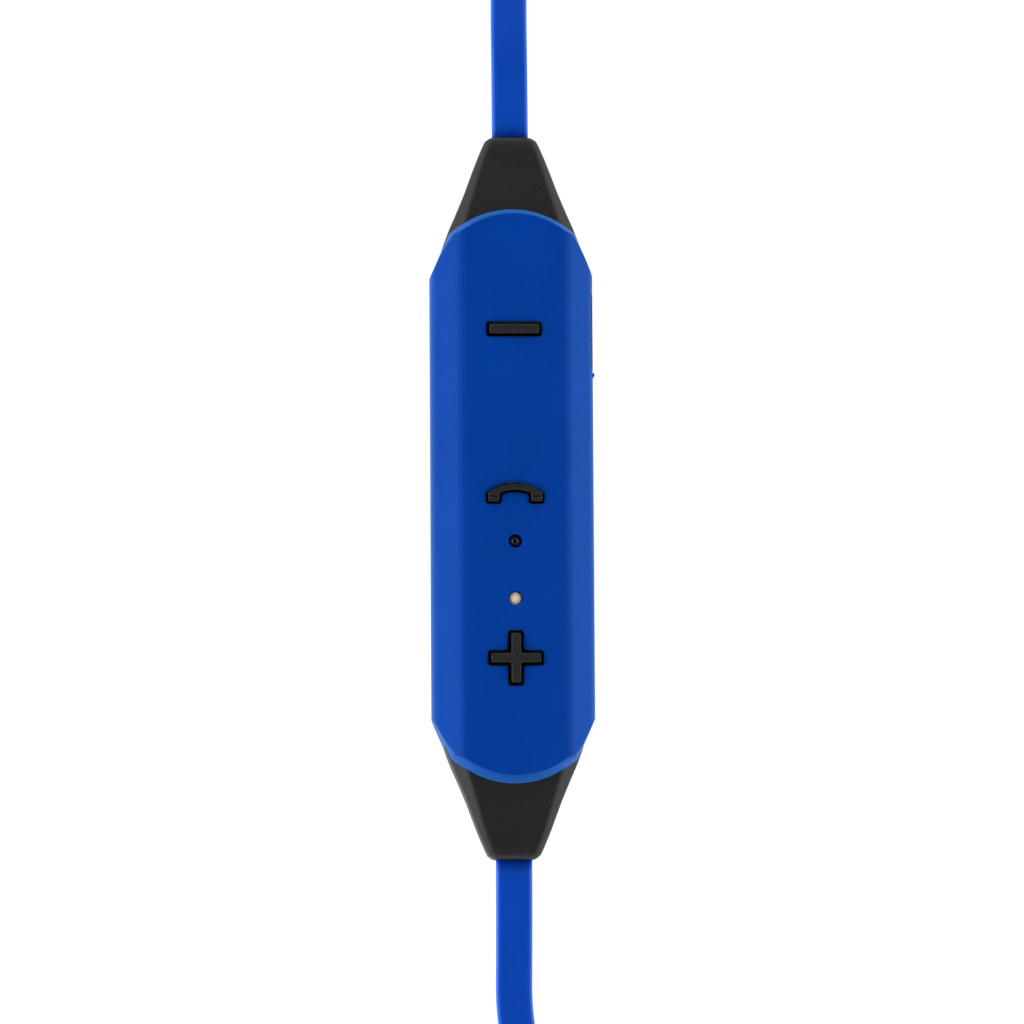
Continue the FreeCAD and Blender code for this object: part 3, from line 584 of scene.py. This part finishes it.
def turned(side, profile, rounding, angle=14):
    """Spin a half profile, in mm as (radius, distance forward), round a bud's axis."""
    base, forward = bud_frame(side)
    bm = bmesh.new()
    chain = [bm.verts.new((radius * MM, along * MM, 0)) for radius, along in profile]
    for near, far in zip(chain, chain[1:]):
        bm.edges.new((near, far))
    if profile[0][0] and profile[-1][0]:
        bm.edges.new((chain[-1], chain[0]))
    bmesh.ops.spin(bm, geom=bm.verts[:] + bm.edges[:], cent=(0, 0, 0), axis=(0, 1, 0), dvec=(0, 0, 0),
                   angle=2 * math.pi, steps=SPIN_STEPS, use_merge=True)
    bmesh.ops.remove_doubles(bm, verts=bm.verts, dist=0.0005 * MM)
    bmesh.ops.recalc_face_normals(bm, faces=bm.faces)
    bevelled(bm, rounding * MM, 3, angle)
    turn = Matrix.Rotation(0 if forward == 1 else math.pi, 4, "Z")
    bmesh.ops.transform(bm, matrix=Matrix.Translation(base) @ turn, verts=bm.verts)
    return bm


HOUSING = [(5.42, 0.0), (5.6, 0.18), (5.6, 2.9), (5.52, 3.7), (5.25, 4.6), (4.72, 5.5), (3.9, 6.3),
           (3.0, 6.95), (2.5, 7.35), (2.4, 7.7), (2.4, 11.0), (2.62, 11.3), (2.62, 11.75), (2.3, 12.0),
           (1.72, 12.0), (1.7, 11.8), (1.7, 7.2), (3.9, 5.4), (4.8, 3.1), (4.8, 0.0)]
CAP = [(0, -4.2), (2.6, -4.18), (3.5, -4.0), (4.3, -3.55), (4.95, -2.9), (5.35, -2.1), (5.55, -1.2),
       (5.6, -0.5), (5.6, -0.22), (5.42, -0.04), (4.8, -0.04), (4.8, -1.4), (4.1, -2.9), (2.8, -3.4),
       (0, -3.4)]
for side in ("left", "right"):
    dressed(turned(side, HOUSING, 0.06), f"{side}_housing", f"{side}_bud_housing", "casing_blue")
    dressed(turned(side, CAP, 0.06), f"{side}_cap", f"{side}_bud_cap", "bud_black")

# %% [markdown]
# The silicone tip is a thin dome on a sleeve. Its profile is one closed line: over the dome, round
# the mouth, back through the bore, and out along the inside of the skirt.

# %% Ear tips
DOME_POINTS = 9
SKIRT_EDGE = 7.2  # mm forward of the line where cap and housing meet


def dome(radius, length, start, stop):
    """Points on a quarter ellipse between two angles, in degrees from the skirt's edge."""
    angles = [math.radians(start + (stop - start) * step / (DOME_POINTS - 1))
              for step in range(DOME_POINTS)]
    return [(radius * math.cos(angle), SKIRT_EDGE + length * math.sin(angle)) for angle in angles]


BORE = [(2.75, 12.2), (2.52, 12.1), (2.46, 11.8), (2.46, 7.75), (2.7, 7.7), (3.1, 7.75), (3.15, 8.0),
        (3.15, 10.9)]
TIP = ([(5.72, SKIRT_EDGE), (6.02, SKIRT_EDGE + 0.04)] + dome(6.1, 5.3, 4, 60) + BORE
       + dome(5.5, 4.5, 54, 4))
for side in ("left", "right"):
    dressed(turned(side, TIP, 0.08, angle=25), f"{side}_silicone_tip", f"{side}_ear_tip",
            "silicone_black", f"{side}_ear_tip")

# %% [markdown]
# Where the flat cord enters a bud, a short ribbed relief keeps it from kinking. It is skinned like
# the boots of the pod, but two stations in every four are smaller, which makes the ribs. It starts
# square under the cap and ends just wider than the cord, which stands on its edge here.

# %% Bud reliefs
RIB_STATIONS = 17
for side in ("left", "right"):
    low, high = (Vector(corner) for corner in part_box(f"{side}_bud_relief"))
    start, end = (high.y, low.y) if side == "left" else (low.y, high.y)
    middle_x, middle_z = (low.x + high.x) / 2, (low.z + high.z) / 2
    bm = bmesh.new()
    loops = []
    for step in range(RIB_STATIONS):
        share = step / (RIB_STATIONS - 1)
        last = step == RIB_STATIONS - 1
        rib = 0.86 if step % 4 in (1, 2) and 2 < step < 14 else 1.0
        wide = (1.5 - 0.55 * share) * rib * (0.9 if last else 1)
        tall = (1.5 + 0.2 * share) * (0.5 + 0.5 * rib) * (0.93 if last else 1)
        middle = middle_z - 0.2 * (1 - share) * MM
        place = (middle_x, start + (end - start) * share, middle)
        loops.append(corner_loop(bm, place, wide * MM, tall * MM, 0.45 * wide * MM, 3))
    skinned(bm, loops)
    dressed(bm, f"{side}_cord_boot", f"{side}_bud_relief", "soft_black")

# %% [markdown]
# Two round holes in the front are the smallest details. Behind the upper one stands the flat end of
# a smoked light pipe, which is dark and glossy while the light is off. Behind the lower one lies a
# cream disc of acoustic felt over the microphone. Both are a filled circle with a skirt.

# %% Light window and microphone felt
def disc(node, radius, below_face, skirt, aside=0.0):
    """A round disc with a skirt, over a frame part, below the front face and a little aside."""
    low, high = (Vector(corner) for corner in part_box(node))
    bm = bmesh.new()
    bmesh.ops.create_circle(bm, cap_ends=True, segments=48, radius=radius)
    wall = bmesh.ops.extrude_edge_only(bm, edges=bm.edges[:])["geom"]
    lowest = [item for item in wall if isinstance(item, bmesh.types.BMVert)]
    bmesh.ops.translate(bm, vec=(0, 0, -skirt), verts=lowest)
    foot = [item for item in wall if isinstance(item, bmesh.types.BMEdge)]
    bmesh.ops.contextual_create(bm, geom=foot)
    bmesh.ops.recalc_face_normals(bm, faces=bm.faces)
    middle = ((low.x + high.x) / 2 - aside, (low.y + high.y) / 2 - aside, FACE - below_face)
    bmesh.ops.translate(bm, vec=middle, verts=bm.verts)
    return bm


dressed(disc("microphone_mesh", 0.545 * MM, 0.1408 * MM, 0.3 * MM, aside=0.03 * MM),
        "microphone_felt", "microphone_mesh", "mesh_cream")
dressed(disc("light_pipe", 0.575 * MM, 0.2752 * MM, 2.2 * MM),
        "light_window", "light_pipe", "clear_pipe")

# %% [markdown]
# Two bands of woven tape hold the put-away turns. Each one is a rounded loop round the strands,
# extruded to its width and given its thickness with Solidify, so its inside stays open.

# %% Hank ties
TIES_LOW, TIES_HIGH = (Vector(corner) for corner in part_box("hank_ties"))
BAND = 0.32 * MM
BAND_CORNER = 0.7 * MM
BAND_ROOM = 0.62 * MM  # from the outer strand to the outside of the band
STRANDS = TURN_PITCH * (TURNS - 1) + CORD_THICKNESS
bm = bmesh.new()
for out, reach in ((-1, TIES_LOW.x), (1, TIES_HIGH.x)):
    half_wide = STRANDS / 2 + BAND_ROOM
    middle_x = reach - out * half_wide
    half_high = (TIES_HIGH.z - TIES_LOW.z) / 2
    place = (middle_x, TIES_LOW.y, (TIES_HIGH.z + TIES_LOW.z) / 2)
    near = corner_loop(bm, place, half_wide, half_high, BAND_CORNER, 5)
    for share in (0.08, 0.5, 0.92, 1.0):
        made = bmesh.ops.extrude_edge_only(bm, edges=near)["geom"]
        ring = [item for item in made if isinstance(item, bmesh.types.BMVert)]
        goal = TIES_LOW.y + (TIES_HIGH.y - TIES_LOW.y) * share
        bmesh.ops.translate(bm, vec=(0, goal - ring[0].co.y, 0), verts=ring)
        near = [item for item in made if isinstance(item, bmesh.types.BMEdge)]
bmesh.ops.recalc_face_normals(bm, faces=bm.faces)
bmesh.ops.solidify(bm, geom=bm.faces[:], thickness=BAND)
bmesh.ops.recalc_face_normals(bm, faces=bm.faces)
dressed(bm, "tie_bands", "hank_ties", "tie_black")
